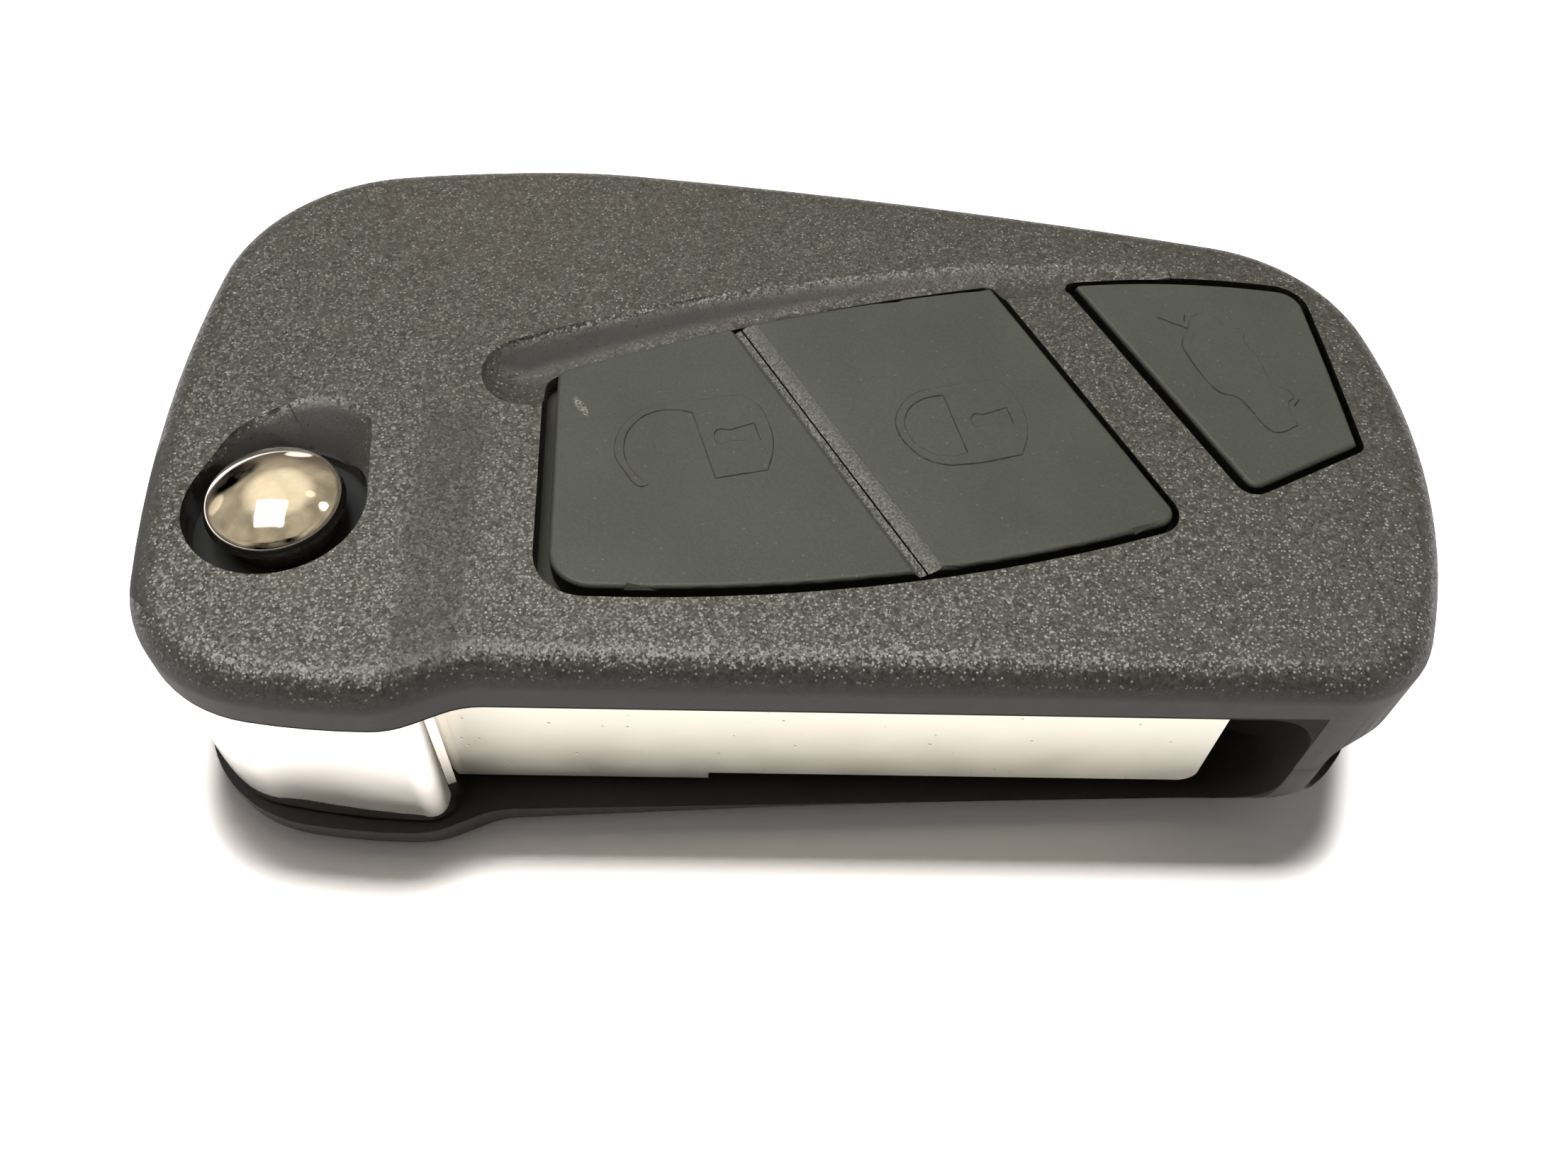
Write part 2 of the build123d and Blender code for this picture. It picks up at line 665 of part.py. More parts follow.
# Chrome head
tang_z0 = blade_z0 + (blade_height - tang_height)/2
pin_x = head_side_x - pin_from_side
pin_z = blade_z0 + blade_height/2
head_back_y = blade_back_y + head_wall_behind
with BuildPart() as flip_head:
    with BuildSketch(Plane.XY.offset(head_z0)) as head_plan:
        near_left = (left + near_left_corner[0] + head_inset, near + near_left_corner[1] + head_inset)
        near_right = (head_side_x, near + head_inset)
        with BuildLine():
            ThreePointArc(near_left, (left + head_bow[0], near + head_bow[1] + head_inset), near_right)
            Polyline(near_right, (head_side_x, head_back_y), (pivot_x, head_back_y), pivot,
                     (pivot_x - hub_radius, pivot_y), near_left)
        make_face()
        for corner, radius in ((near_right, head_corner_radius), (near_left, head_turn_radius)):
            fillet(head_plan.vertices().sort_by_distance(corner)[0], radius)
        with Locations(pivot):
            Circle(hub_radius)
    extrude(amount=head_height)
    # Step in the side of the head, beside the blade
    with Locations((head_side_x, blade_front_y - side_step_depth, head_z0)):
        Box(2*side_step_width, case_width/4, head_height,
            align=(Align.CENTER, Align.MAX, Align.MIN), mode=Mode.SUBTRACT)
    # Spring chamber, stem bore and keyways
    with BuildSketch(at_pivot(head_z0)):
        Circle(chamber_radius)
    extrude(amount=chamber_z1 - head_z0, mode=Mode.SUBTRACT)
    with BuildSketch(at_pivot(chamber_z1)):
        Circle(stem_radius + running_gap)
        Rectangle(2*(dog_reach + keyway_clearance), dog_width + 2*keyway_clearance)
    extrude(amount=chamber_top_wall, mode=Mode.SUBTRACT)
    # Collar that turns in the roof
    with BuildSketch(at_pivot(head_z1)):
        Circle(thrust_outer_radius)
        Circle(thrust_inner_radius, mode=Mode.SUBTRACT)
    extrude(amount=collar_height)
    # Socket of the blade, and the blind hole of its pin
    with Locations((head_side_x, blade_front_y, tang_z0)):
        Box(tang_length + socket_clearance, blade_thickness + socket_clearance,
            tang_height + socket_clearance, align=(Align.MAX, Align.MIN, Align.MIN), mode=Mode.SUBTRACT)
    with BuildSketch(Plane.XZ.offset(-head_back_y)):
        with Locations((pin_x, pin_z)):
            Circle(pin_radius + pin_clearance)
    extrude(amount=pin_length + pin_clearance, mode=Mode.SUBTRACT)
flip_head.part.label = "flip_head"

# Uncut blade
with BuildPart() as key_blade:
    with Locations((head_side_x, blade_front_y, blade_z0)):
        Box(blade_length, blade_thickness, blade_height, align=(Align.MIN, Align.MIN, Align.MIN))
    tip_edges = key_blade.edges().filter_by(Axis.Y).group_by(Axis.X)[-1]
    fillet(tip_edges, tip_corner_radius)
    with Locations((head_side_x, blade_front_y, blade_z0)):
        Box(root_length, blade_thickness, root_drop, align=(Align.MIN, Align.MIN, Align.MAX))
    with Locations((head_side_x, blade_front_y, tang_z0)):
        Box(tang_length, blade_thickness, tang_height, align=(Align.MAX, Align.MIN, Align.MIN))
    with BuildSketch(Plane.XZ.offset(-blade_back_y)):
        with Locations((pin_x, pin_z)):
            Circle(pin_radius + pin_clearance)
    extrude(amount=blade_thickness, mode=Mode.SUBTRACT)
key_blade.part.label = "key_blade"

# Pin through the tang
with BuildPart() as blade_pin:
    with BuildSketch(Plane.XZ.offset(-head_back_y)):
        with Locations((pin_x, pin_z)):
            Circle(pin_radius)
    extrude(amount=pin_length)
blade_pin.part.label = "blade_pin"

# Chrome dome of the release button
cap_bottom = case_height - cap_sink
dome_height = cap_sink + button_rise - button_rim_height
dome_radius = (button_radius**2 + dome_height**2)/(2*dome_height)
with BuildPart() as release_cap:
    with BuildSketch(at_pivot(cap_bottom)):
        Circle(button_radius)
    extrude(amount=cap_sink + button_rise)
    with Locations((pivot_x, pivot_y, case_height + button_rise - dome_radius)):
        Sphere(dome_radius, mode=Mode.INTERSECT)
    fillet(release_cap.edges().filter_by(GeomType.CIRCLE), button_rim_radius)
    with BuildSketch(at_pivot(cap_bottom)):
        Circle(spigot_radius)
    extrude(amount=spigot_length, mode=Mode.SUBTRACT)
release_cap.part.label = "release_cap"

# Plunger under the dome: stem, flange for the spring, and two dogs in the head's keyways
flange_z1 = chamber_z1 - keyway_clearance
with BuildPart() as release_plunger:
    with BuildSketch(at_pivot(flange_z1 - flange_thickness)):
        Circle(flange_radius)
    extrude(amount=flange_thickness)
    with BuildSketch(at_pivot(flange_z1)):
        Circle(stem_radius)
    extrude(amount=cap_bottom - flange_z1)
    with BuildSketch(at_pivot(cap_bottom)):
        Circle(spigot_radius)
    extrude(amount=spigot_length - running_gap)
    with BuildSketch(at_pivot(flange_z1)):
        Rectangle(2*dog_reach, dog_width)
    extrude(amount=head_z1 + dog_rise - flange_z1)
release_plunger.part.label = "release_plunger"

# Fixed seat that the head's lower end turns on
with BuildPart() as spring_seat:
    with BuildSketch(at_pivot(slot_floor)):
        Circle(chamber_radius - running_gap)
    extrude(amount=seat_thickness)
    with BuildSketch(at_pivot(slot_floor)):
        Circle(seat_peg_radius)
    extrude(amount=-seat_peg_length)
spring_seat.part.label = "spring_seat"

# Coil spring between the seat and the plunger's flange
spring_z0 = slot_floor + seat_thickness + spring_end_gap + spring_wire
spring_z1 = flange_z1 - flange_thickness - spring_end_gap - spring_wire
spring_radius = flange_radius - spring_wire
with BuildPart() as flip_spring:
    with BuildLine():
        coil = Helix(pitch=(spring_z1 - spring_z0)/spring_turns, height=spring_z1 - spring_z0,
                     radius=spring_radius, center=(pivot_x, pivot_y, spring_z0))
    with BuildSketch(Plane(coil @ 0, z_dir=coil % 0)):
        Circle(spring_wire)
    sweep(is_frenet=True)
flip_spring.part.label = "flip_spring"

# Two self-tapping screws through the lower half
with BuildPart() as case_screws:
    with Locations(*[Plane((x, y, screw_recess)) for x, y in screw_places]):
        Cylinder(screw_head_radius, screw_head_thickness, align=on_base)
        Cylinder(screw_radius, screw_head_thickness + screw_length, align=on_base)
        for length, width in ((2*screw_radius, screw_cross_width), (screw_cross_width, 2*screw_radius)):
            Box(length, width, screw_cross_depth, align=on_base, mode=Mode.SUBTRACT)
case_screws.part.label = "case_screws"

pieces = (lower_shell, upper_shell, boot_button, keypad_membrane, circuit_drawer, drawer_lid, drawer_lock,
          lock_cam, flip_head, key_blade, blade_pin, release_cap, release_plunger, spring_seat, flip_spring,
          case_screws)
for piece in pieces:
    export_step(piece.part, f"parts/{piece.part.label}.step")
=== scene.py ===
# %% [markdown]
# # A flip key remote shell
#
# The real object is an empty key case: two black moulded halves, rubber keys, a chrome release
# button and a blade that folds into a slot. Its solids come packed from the CAD model and are
# loaded as a fixed frame. This script gives them their finish and adds what is too fine for CAD:
# rounded edges, a finely turned dome and the moulded symbols on the keys.

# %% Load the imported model
import json
from math import asin, cos, pi, radians, sin

import bmesh
import bpy
from mathutils import Matrix, Vector


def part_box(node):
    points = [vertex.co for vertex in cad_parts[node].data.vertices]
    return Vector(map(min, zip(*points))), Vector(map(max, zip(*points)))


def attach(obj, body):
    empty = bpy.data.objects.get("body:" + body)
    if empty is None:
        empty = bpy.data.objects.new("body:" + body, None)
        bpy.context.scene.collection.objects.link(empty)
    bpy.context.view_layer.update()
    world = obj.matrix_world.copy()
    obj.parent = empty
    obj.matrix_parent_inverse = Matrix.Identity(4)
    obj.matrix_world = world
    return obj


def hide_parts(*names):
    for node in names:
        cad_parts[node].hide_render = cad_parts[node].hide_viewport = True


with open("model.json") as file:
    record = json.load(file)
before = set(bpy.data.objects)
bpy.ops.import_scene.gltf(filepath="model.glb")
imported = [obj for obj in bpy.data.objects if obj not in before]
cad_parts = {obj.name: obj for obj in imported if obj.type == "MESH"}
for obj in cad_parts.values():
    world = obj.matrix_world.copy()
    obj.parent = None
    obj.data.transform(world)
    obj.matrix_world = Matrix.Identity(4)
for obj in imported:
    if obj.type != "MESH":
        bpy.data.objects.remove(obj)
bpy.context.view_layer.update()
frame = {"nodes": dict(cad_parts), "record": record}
MM = 0.001

# %% [markdown]
# The camera comes first, because every size on the picture depends on it. It was close to the
# key, a little to the left of its middle, and looked down at 54 degrees, so the near side is
# much larger than the far one. Its place, its three angles and its focal length are set as a
# matrix of right, up and back directions, which is how a camera object holds them.

# %% Camera
PHOTO_WIDTH = 2212
FOCAL_PIXELS = 1820
EYE = Vector((-3.09, -54.29, 72.5)) * MM
YAW, PITCH, ROLL = radians(3.0), radians(53.88), radians(-3.54)

forward = Vector((sin(YAW) * cos(PITCH), cos(YAW) * cos(PITCH), -sin(PITCH)))
level = Vector((cos(YAW), -sin(YAW), 0))
below = forward.cross(level)
across = level * cos(ROLL) + below * sin(ROLL)
upward = level * sin(ROLL) - below * cos(ROLL)

camera = bpy.data.objects.new("camera", bpy.data.cameras.new("camera"))
camera.data.lens = camera.data.sensor_width * FOCAL_PIXELS / PHOTO_WIDTH
camera.data.clip_start = 1 * MM
turned = Matrix((across, upward, -forward)).transposed().to_4x4()
camera.matrix_world = Matrix.Translation(EYE) @ turned
bpy.context.scene.collection.objects.link(camera)
bpy.context.scene.camera = camera
bpy.context.scene.view_settings.view_transform = "Standard"
print("lens", round(camera.data.lens, 2), "mm")

# %% [markdown]
# Finishes are node trees, and most of their nodes are arithmetic. Written as Python expressions
# they read like the formula that they are, so one small class wraps a socket and gives it the
# usual operators. Every other node comes from a single method, which takes the node's type, its
# settings and the values or links of its sockets.


# %% Shader expressions
class Flow:
    """A shader socket that Python's arithmetic works on."""

    def __init__(self, tree, socket):
        self.tree = tree
        self.socket = socket

    def feed(self, slot, value):
        if isinstance(value, Flow):
            self.tree.links.new(value.socket, slot)
        else:
            slot.default_value = value

    def maths(self, operation, *values):
        node = self.tree.nodes.new("ShaderNodeMath")
        node.operation = operation
        for slot, value in zip(node.inputs, values):
            self.feed(slot, value)
        return Flow(self.tree, node.outputs[0])

    def __add__(self, other):
        return self.maths("ADD", self, other)

    def __sub__(self, other):
        return self.maths("SUBTRACT", self, other)

    def __rsub__(self, other):
        return self.maths("SUBTRACT", other, self)

    def __mul__(self, other):
        return self.maths("MULTIPLY", self, other)

    def __truediv__(self, other):
        return self.maths("DIVIDE", self, other)

    def __gt__(self, other):
        return self.maths("GREATER_THAN", self, other)

    def __lt__(self, other):
        return self.maths("LESS_THAN", self, other)

    def __abs__(self):
        return self.maths("ABSOLUTE", self)

    __radd__ = __add__
    __rmul__ = __mul__


class Finish:
    """A node tree of a material or of the world, and the nodes that go into it."""

    def __init__(self, owner):
        owner.use_nodes = True
        self.tree = owner.node_tree
        self.tree.nodes.clear()
        self.flow = Flow(self.tree, None)

    def node(self, kind, settings=None, sockets=None, output=0):
        node = self.tree.nodes.new(kind)
        for name, value in (settings or {}).items():
            setattr(node, name, value)
        for name, value in (sockets or {}).items():
            if isinstance(name, str):
                name = [slot.name == name and slot.enabled for slot in node.inputs].index(True)
            self.flow.feed(node.inputs[name], value)
        if isinstance(output, int):
            outputs = [slot for slot in node.outputs if slot.enabled] + [None]
            return Flow(self.tree, outputs[output])
        return Flow(self.tree, node.outputs[output])

    def place(self):
        return self.node("ShaderNodeTexCoord", output="Object")

    def facing(self):
        """The direction that the surface faces."""
        return self.node("ShaderNodeNewGeometry", output="Normal")

    def axes(self, vector):
        return [self.node("ShaderNodeSeparateXYZ", None, {"Vector": vector}, axis) for axis in "XYZ"]

    def vector(self, operation, sockets, output=0):
        return self.node("ShaderNodeVectorMath", {"operation": operation}, sockets, output)

    def noise(self, size, detail=2.0):
        return self.node("ShaderNodeTexNoise", None,
                         {"Vector": self.place(), "Scale": 1 / size, "Detail": detail}, "Fac")

    def cells(self, size, output, feature="F1"):
        return self.node("ShaderNodeTexVoronoi", {"feature": feature},
                         {"Vector": self.place(), "Scale": 1 / size}, output)

    def draw(self, size, channel):
        """A random number for each cell."""
        return self.node("ShaderNodeSeparateColor", None, {"Color": self.cells(size, "Color")}, channel)

    def ramp(self, value, low, high, start=0.0, end=1.0):
        """Rises smoothly from start to end as the value goes from low to high."""
        return self.node("ShaderNodeMapRange", {"interpolation_type": "SMOOTHSTEP"},
                         {"Value": value, "From Min": low, "From Max": high,
                          "To Min": start, "To Max": end})

    def colour(self, factor, first, second):
        return self.node("ShaderNodeMix", {"data_type": "RGBA"},
                         {"Factor": factor, "A": (*first, 1) if isinstance(first, tuple) else first,
                          "B": (*second, 1) if isinstance(second, tuple) else second})

    def grains(self, size, tilt):
        """The surface normal, leaned a random way in each grain."""
        turn = self.vector("SUBTRACT", {0: self.cells(size, "Color"), 1: (0.5, 0.5, 0.5)})
        turn = self.vector("SCALE", {"Vector": turn, "Scale": tilt})
        leaned = self.vector("ADD", {0: self.facing(), 1: turn})
        return self.vector("NORMALIZE", {0: leaned})

    def bump(self, height, depth, normal=None):
        sockets = {"Height": height, "Distance": depth, "Strength": 1.0}
        if normal is not None:
            sockets["Normal"] = normal
        return self.node("ShaderNodeBump", None, sockets)

    def surface(self, sockets):
        shader = self.node("ShaderNodeBsdfPrincipled", None, sockets)
        self.node("ShaderNodeOutputMaterial", None, {"Surface": shader})


# %% [markdown]
# The key lies on a bright white table, so bright that it clips to white in the picture and keeps
# only the dark shadow under the near side. More light would wash out the key itself. So the lamp
# stays as it is, and the table's own colour is raised for camera rays, and about half as much
# for the glossy rays that let the blade mirror it.

# %% Table
TABLE_HALF = 2.0
TABLE_WHITE = (0.55, 0.54, 0.53)
TABLE_SEEN = (2.2, 2.11, 2.05)
GLOSS_SHARE = 0.56

mesh = bpy.data.meshes.new("table")
shape = bmesh.new()
bmesh.ops.create_grid(shape, x_segments=2, y_segments=2, size=TABLE_HALF)
shape.to_mesh(mesh)
shape.free()
table = bpy.data.objects.new("table", mesh)
bpy.context.scene.collection.objects.link(table)

paper = bpy.data.materials.new("white_table")
finish = Finish(paper)
plain = finish.node("ShaderNodeBsdfDiffuse", None, {"Color": (*TABLE_WHITE, 1)})
seen = finish.node("ShaderNodeBsdfDiffuse", None, {"Color": (*TABLE_SEEN, 1)})
by_eye = finish.node("ShaderNodeLightPath", output="Is Camera Ray")
by_gloss = finish.node("ShaderNodeLightPath", output="Is Glossy Ray")
raised = by_eye + by_gloss * GLOSS_SHARE
both = finish.node("ShaderNodeMixShader", None, {0: raised, 1: plain, 2: seen})
finish.node("ShaderNodeOutputMaterial", None, {"Surface": both})
mesh.materials.append(paper)

# %% [markdown]
# The chrome dome is a mirror of the room: a square light panel overhead, a beige ceiling that
# glows around it, dark walls and a few small lights and dark patches. The directions of the
# small lights were found by tracing their reflections back from the dome, and the rest was tuned.
# The lamp that lights the key is small, because the shadow's edge is fairly sharp, and
# it is left out of the reflections. The panel and the rest are painted on the world, and only
# glossy rays see them, so that they shine in the chrome and in the grains of the plastic but
# cast no light on the table.

# %% Lamp and room
LAMP_PLACE = Vector((0.0, 0.10, 0.60))
LAMP_SIZE = 0.12
LAMP_POWER = 3.7
AMBIENT = 0.09
PANEL_SLOPES = (-0.19, 0.03)
PANEL_HALF = 0.27
PANEL_GLOW = 45.0
PANEL_WHITE = (0.42, 0.40, 0.37)
CEILING = (0.40, 0.34, 0.24)
WALLS = (0.13, 0.10, 0.08)
WALL_RISE = (0.05, 0.5)
CLUTTER_SCALE = 2.6
CLUTTER_GLOW = (0.72, 1.28)
PANEL_CORE, PATCH_CORE = 0.8, 0.6
# The direction, the half angle in degrees and the added glow of each light or dark patch.
ROOM_PATCHES = (
    ((-0.18, 0.98, 0.06), 7.0, 12.0),
    ((0.56, 0.33, 0.74), 6.0, 9.0),
    ((0.32, 0.48, 0.80), 5.0, 1.2),
    ((-0.87, 0.36, 0.33), 9.0, 1.5),
    ((-0.15, 0.45, 0.88), 34.0, 1.5),
    ((-0.68, 0.70, 0.22), 18.0, -0.8),
    ((0.05, -0.92, 0.38), 44.0, -0.8),
)

lamp = bpy.data.objects.new("square_lamp", bpy.data.lights.new("square_lamp", "AREA"))
lamp.data.size = LAMP_SIZE
lamp.data.energy = LAMP_POWER
lamp.location = LAMP_PLACE
lamp.visible_glossy = False
bpy.context.scene.collection.objects.link(lamp)

room = bpy.data.worlds.new("room")
bpy.context.scene.world = room
finish = Finish(room)
way = finish.node("ShaderNodeTexCoord", output="Generated")
east, north, height = finish.axes(way)
panel = height > 0.0
for slope, aim in zip((east / height, north / height), PANEL_SLOPES):
    panel = panel * finish.ramp(abs(slope - aim), PANEL_HALF * PANEL_CORE, PANEL_HALF, 1.0, 0.0)
clutter = finish.node("ShaderNodeTexNoise", None,
                      {"Vector": way, "Scale": CLUTTER_SCALE, "Detail": 3.0}, "Fac")
walls = finish.colour(finish.ramp(height, *WALL_RISE), WALLS, CEILING)
walls = finish.colour(panel, walls, PANEL_WHITE)
glow = finish.ramp(clutter, 0.3, 0.7, *CLUTTER_GLOW) + panel * PANEL_GLOW
for direction, spread, strength in ROOM_PATCHES:
    toward = finish.vector("DOT_PRODUCT", {0: way, 1: Vector(direction).normalized()}, "Value")
    rim, core = cos(radians(spread)), cos(radians(spread * PATCH_CORE))
    glow = finish.ramp(toward, rim, core, 0.0, strength) + glow
even = finish.node("ShaderNodeBackground", None, {"Color": (1, 1, 1, 1), "Strength": AMBIENT})
mirrored = finish.node("ShaderNodeBackground", None, {"Color": walls, "Strength": glow})
by_gloss = finish.node("ShaderNodeLightPath", output="Is Glossy Ray")
both = finish.node("ShaderNodeMixShader", None, {0: by_gloss, 1: even, 2: mirrored})
finish.node("ShaderNodeOutputWorld", None, {"Surface": both})
print("lamp", LAMP_POWER, "W, painted patches", len(ROOM_PATCHES))

# %% [markdown]
# The case is black plastic. Its top has a spark-eroded texture: grains a tenth of a millimetre
# across, each leaning its own way, and here and there one that catches the light and glints. Those
# glints are also painted into the colour as pale specks, a painted highlight, and the near half of
# the top is painted lighter with more of them, as painted sheen. The sides come out of a polished
# mould and are smooth, and where the surface below the top still faces upwards, as on the rounded
# edge, it is painted darker, as painted shade. A dull band beside the release button, where the
# mould was rubbed, glints less. The recess and the finger groove are smoother, and they are painted
# darker as painted shade: the sunken part of the recess, and the wall of the groove that faces the
# near side. The slot and the openings see so little light that they are painted nearly black, as
# painted shade.
#
# So the plastic has to know where it is. Each place is a mask, a number from 0 to 1, which is
# worked out from the position in the object and from the direction that the surface faces.

# %% Places on the case
PIVOT = (-28.6, -9.3)
RECESS_REACH = 8.6
TOP = (16.2 * MM, 17.4 * MM)
SUNKEN = (17.3 * MM, 17.76 * MM)
NEAR_HALF = (-16.0 * MM, 4.0 * MM)
GROOVE_NEAR = -4.0 * MM
GROOVE_LEAN = (0.06, 0.26)
BAND_LEFT = ((-21.8, -1.2), (-20.8, -19.3))
BAND_RIGHT = ((-18.1, -1.7), (-17.5, -19.0))
BAND_FADE_LEFT, BAND_FADE_RIGHT = (-0.25, 0.25), (-0.3, 0.5)
BAND_END = (-2.6 * MM, -0.6 * MM)
SLOT_LOW, SLOT_HIGH = 2.42 * MM, 14.45 * MM
SLOT_BACK, SLOT_END = -13.3 * MM, 27.98 * MM
OPENING_LOW = 16.5 * MM
STEEP = (0.08, 0.28)
UPWARD = (-0.2, 0.35)


def right_of(x, y, line):
    """Distance of a point to the right of a nearly straight line across the case, in millimetres."""
    (x0, y0), (x1, y1) = line
    slope = (x1 - x0) / (y1 - y0)
    return (x * (1 / MM)) - (y * (slope / MM)) - (x0 - slope * y0)


def case_places(finish):
    """Masks of the top, its near half, the band, the hollows, what faces up, the slot, the openings; the
    near half carries painted sheen, the hollows, slot and openings painted shade.
    """
    x, y, z = finish.axes(finish.place())
    north, up = finish.axes(finish.facing())[1:]
    on_top = finish.ramp(z, *TOP)
    near_sheen = finish.ramp(y, *NEAR_HALF, 1.0, 0.0)
    band = finish.ramp(right_of(x, y, BAND_LEFT), *BAND_FADE_LEFT)
    band = band * (1 - finish.ramp(right_of(x, y, BAND_RIGHT), *BAND_FADE_RIGHT))
    band = band * on_top * finish.ramp(y, *BAND_END, 1.0, 0.0)
    out_x = x * (1 / MM) - PIVOT[0]
    out_y = y * (1 / MM) - PIVOT[1]
    in_recess = out_x * out_x + out_y * out_y < RECESS_REACH**2
    in_groove = finish.ramp(north * -1, *GROOVE_LEAN) * (y > GROOVE_NEAR)
    smooth_shaded_hollow = finish.ramp(z, *SUNKEN, 1.0, 0.0) * (in_recess + in_groove * (1 - in_recess))
    in_slot = (z > SLOT_LOW) * (z < SLOT_HIGH) * (y < SLOT_BACK) * (x < SLOT_END)
    opening_shade = finish.ramp(up, *STEEP, 1.0, 0.0) * (z > OPENING_LOW)
    return on_top, near_sheen, band, smooth_shaded_hollow, finish.ramp(up, *UPWARD), in_slot, opening_shade


# %% [markdown]
# With the places known, the finish itself is short. A bump alone would look like sand, so the
# surface normal is leaned by a random amount in each grain, and a few larger cells are painted pale
# glints, painted highlights in the colour. The colour then goes through the places one after the other.

# %% Case plastic
GRAIN = 0.10 * MM
GLINT = 0.22 * MM
CLUMP = 0.42 * MM
PATCH = 0.9 * MM
GLINT_EDGE = (0.20, 0.40)
GLINT_RARE, GLINT_NEAR = 0.78, 0.14
DEPTH = 0.018 * MM
LEAN_TOP, LEAN_SIDE = 0.42, 0.04
PLASTIC_DARK, PLASTIC_LIGHT = (0.010, 0.011, 0.010), (0.066, 0.067, 0.060)
PLASTIC_PAINTED_GLINT = (0.40, 0.39, 0.36)
PLASTIC_HOLLOW_SHADE = (0.016, 0.017, 0.017)
PLASTIC_SIDE = (0.056, 0.052, 0.053)
PLASTIC_SLOT_SHADE = (0.004, 0.004, 0.005)
PLASTIC_OPENING_SHADE = (0.008, 0.008, 0.008)


def case_plastic():
    plastic = bpy.data.materials.new("case_plastic")
    finish = Finish(plastic)
    on_top, near_sheen, band, smooth_shaded_hollow, upward, in_slot, opening_shade = case_places(finish)
    # Painted highlight: pale glint specks in the colour, chosen more often on the near half.
    chosen = finish.draw(GLINT, "Green") > GLINT_RARE - near_sheen * GLINT_NEAR
    painted_glint = finish.ramp(finish.cells(GLINT, "Distance"), *GLINT_EDGE, 1.0, 0.0) * chosen
    clump = finish.ramp(finish.noise(CLUMP), 0.3, 0.7)
    # Painted shade: below the top, the tone is darkened.
    light = (finish.draw(GRAIN, "Red") * 0.5 + clump * 0.5) * (0.3 + on_top * 0.7)
    # Painted sheen: the near half of the top is lighter.
    light = light * (1 - band * 0.6) * (0.85 + near_sheen * 0.4)
    base = finish.colour(light, PLASTIC_DARK, PLASTIC_LIGHT)
    base = finish.colour(painted_glint * on_top * (0.7 - band * 0.5 + near_sheen * 0.2), base, PLASTIC_PAINTED_GLINT)
    # Painted shade: the recess and the near-facing groove wall are darker.
    base = finish.colour(smooth_shaded_hollow, base, PLASTIC_HOLLOW_SHADE)
    base = finish.colour(upward, PLASTIC_SIDE, base)
    # Painted shade: the slot and the openings are nearly black.
    base = finish.colour(in_slot, base, PLASTIC_SLOT_SHADE)
    base = finish.colour(opening_shade, base, PLASTIC_OPENING_SHADE)
    rough = 0.39 + (1 - on_top) * 0.2 + band * 0.12 + smooth_shaded_hollow * 0.3 + in_slot * 0.3
    rough = rough + finish.noise(PATCH) * 0.08
    height = finish.cells(GRAIN * 1.6, "Distance", "SMOOTH_F1") + painted_glint * 1.5
    height = height * (on_top * (0.9 - band * 0.5) + 0.1)
    leaned = finish.grains(GRAIN * 1.3, on_top * (1 - smooth_shaded_hollow * 0.8) * LEAN_TOP + LEAN_SIDE)
    finish.surface({"Base Color": base, "Roughness": rough, "Specular IOR Level": 0.7,
                    "Normal": finish.bump(height, DEPTH, leaned)})
    return plastic


# %% [markdown]
# The keys are one rubber moulding. Rubber scatters light and shows little gloss, with a faint
# greenish cast, fine dust and soft cloudy wear. The wall of the V groove between the two long
# keys that faces the lamp is rough, and the light it catches is painted on it as a line of pale
# specks, a painted highlight. One corner is scuffed. The walls of the keys, and the web below
# them, see little light and are painted darker.

# %% Key rubber
VALLEY_FAR = Vector((-3.62, 5.74))
VALLEY_NEAR = Vector((7.13, -13.61))
VALLEY_FOOT, VALLEY_EDGE = -0.42, 0.85
SCUFF = (-12.8, -1.5)
KEY_LOW = (15.8 * MM, 16.8 * MM)
KEY_TOP = (0.2, 0.6)
CLOUD, FINE, DUST, SPECK, PORE = 8.0 * MM, 0.22 * MM, 0.8 * MM, 0.14 * MM, 0.15 * MM
RUBBER_DARK, RUBBER_LIGHT = (0.037, 0.041, 0.034), (0.058, 0.063, 0.054)
RUBBER_DUST = (0.16, 0.16, 0.14)
RUBBER_PAINTED_SPECK = (0.26, 0.26, 0.23)
RUBBER_SCUFF = (0.34, 0.34, 0.29)
RUBBER_SHADE = (0.010, 0.011, 0.009)


def valley_wall(finish, x, y):
    """Mask of the wall of the V groove, from the distance to the groove's line; it carries the painted
    highlight of pale specks.
    """
    run = (VALLEY_NEAR - VALLEY_FAR).normalized()
    off = (y * (run.x / MM)) - (x * (run.y / MM)) - (VALLEY_FAR.y * run.x - VALLEY_FAR.x * run.y)
    sheen_wall = finish.ramp(off, VALLEY_FOOT - 0.05, VALLEY_FOOT + 0.12)
    sheen_wall = sheen_wall * finish.ramp(off, 0.0, VALLEY_EDGE, 1.0, 0.35)
    return sheen_wall * finish.ramp(off, VALLEY_EDGE, VALLEY_EDGE + 0.1, 1.0, 0.0)


def scuff(finish, x, y):
    """Mask of the scuffed corner: a small slanting oval."""
    out_x = x * (1 / MM) - SCUFF[0]
    out_y = y * (1 / MM) - SCUFF[1]
    long = out_x + out_y * 0.55
    wide = out_y * 0.9
    return finish.ramp(long * long * 9.0 + wide * wide * 1.6, 0.3, 1.0, 1.0, 0.0)


